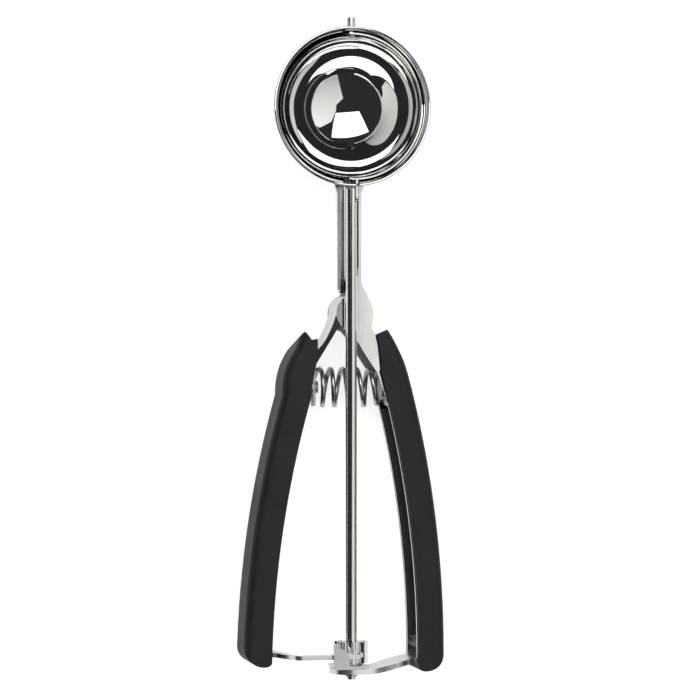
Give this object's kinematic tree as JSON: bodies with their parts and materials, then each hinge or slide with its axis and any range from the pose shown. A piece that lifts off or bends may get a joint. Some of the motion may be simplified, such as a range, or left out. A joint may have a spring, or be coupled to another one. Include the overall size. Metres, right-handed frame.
{
  "type": "lever ice cream scoop",
  "caption": "Squeeze-lever ice cream scoop: a hemispherical bowl with a sweeper blade turned by a shaft, pinion and rack between two rubber-gripped handles.",
  "frame": {"origin": "where the drive shaft's axis crosses the centre of the bowl, in the plane in which the sweeper's pivots lie", "axes": "+Y along the drive shaft towards the bowl's tip, +Z out of the bowl's mouth, +X towards the fixed handle"},
  "size_m": [0.0729, 0.2349, 0.037],
  "materials": {
    "polished_steel": "mirror polished stainless steel",
    "brushed_steel": "satin stainless steel",
    "spring_steel": "drawn spring wire",
    "grip_rubber": "fine matte soft rubber",
    "liner_plastic": "matte moulded plastic"
  },
  "bodies": {
    "frame": {"bowl": "polished_steel", "handle_frame": "polished_steel", "right_grip": "grip_rubber", "right_grip_liner": "liner_plastic", "support_arm": "polished_steel", "rack_guide": "polished_steel", "guide_rivets": "brushed_steel", "pivot_rivet": "brushed_steel", "return_spring": "spring_steel", "spring_seat_right": "brushed_steel"},
    "lever": {"lever_frame": "polished_steel", "left_grip": "grip_rubber", "left_grip_liner": "liner_plastic", "rack": "brushed_steel", "spring_seat_left": "brushed_steel"},
    "shaft": {"drive_shaft": "polished_steel", "pinion": "polished_steel", "thrust_washer": "brushed_steel", "shaft_retainer": "spring_steel", "sweeper_blade": "polished_steel", "tip_rivet": "brushed_steel"}
  },
  "joints": [
    {"name": "lever_pivot", "type": "hinge", "parent": "frame", "child": "lever", "pos_m": [0.002, -0.0732, -0.0107], "axis": [0, 0, 1], "range_deg": [0, 6.8], "stiffness_Nm_per_rad": 8, "springref_deg": -6.88, "deforming": ["return_spring"]},
    {"name": "shaft_spin", "type": "hinge", "parent": "frame", "child": "shaft", "pos_m": [0, 0, 0], "axis": [0, 1, 0], "range_deg": [0, 166]}
  ],
  "couplings": [
    {"joint": "shaft_spin", "follows": "lever_pivot", "ratio": 24.4}
  ]
}
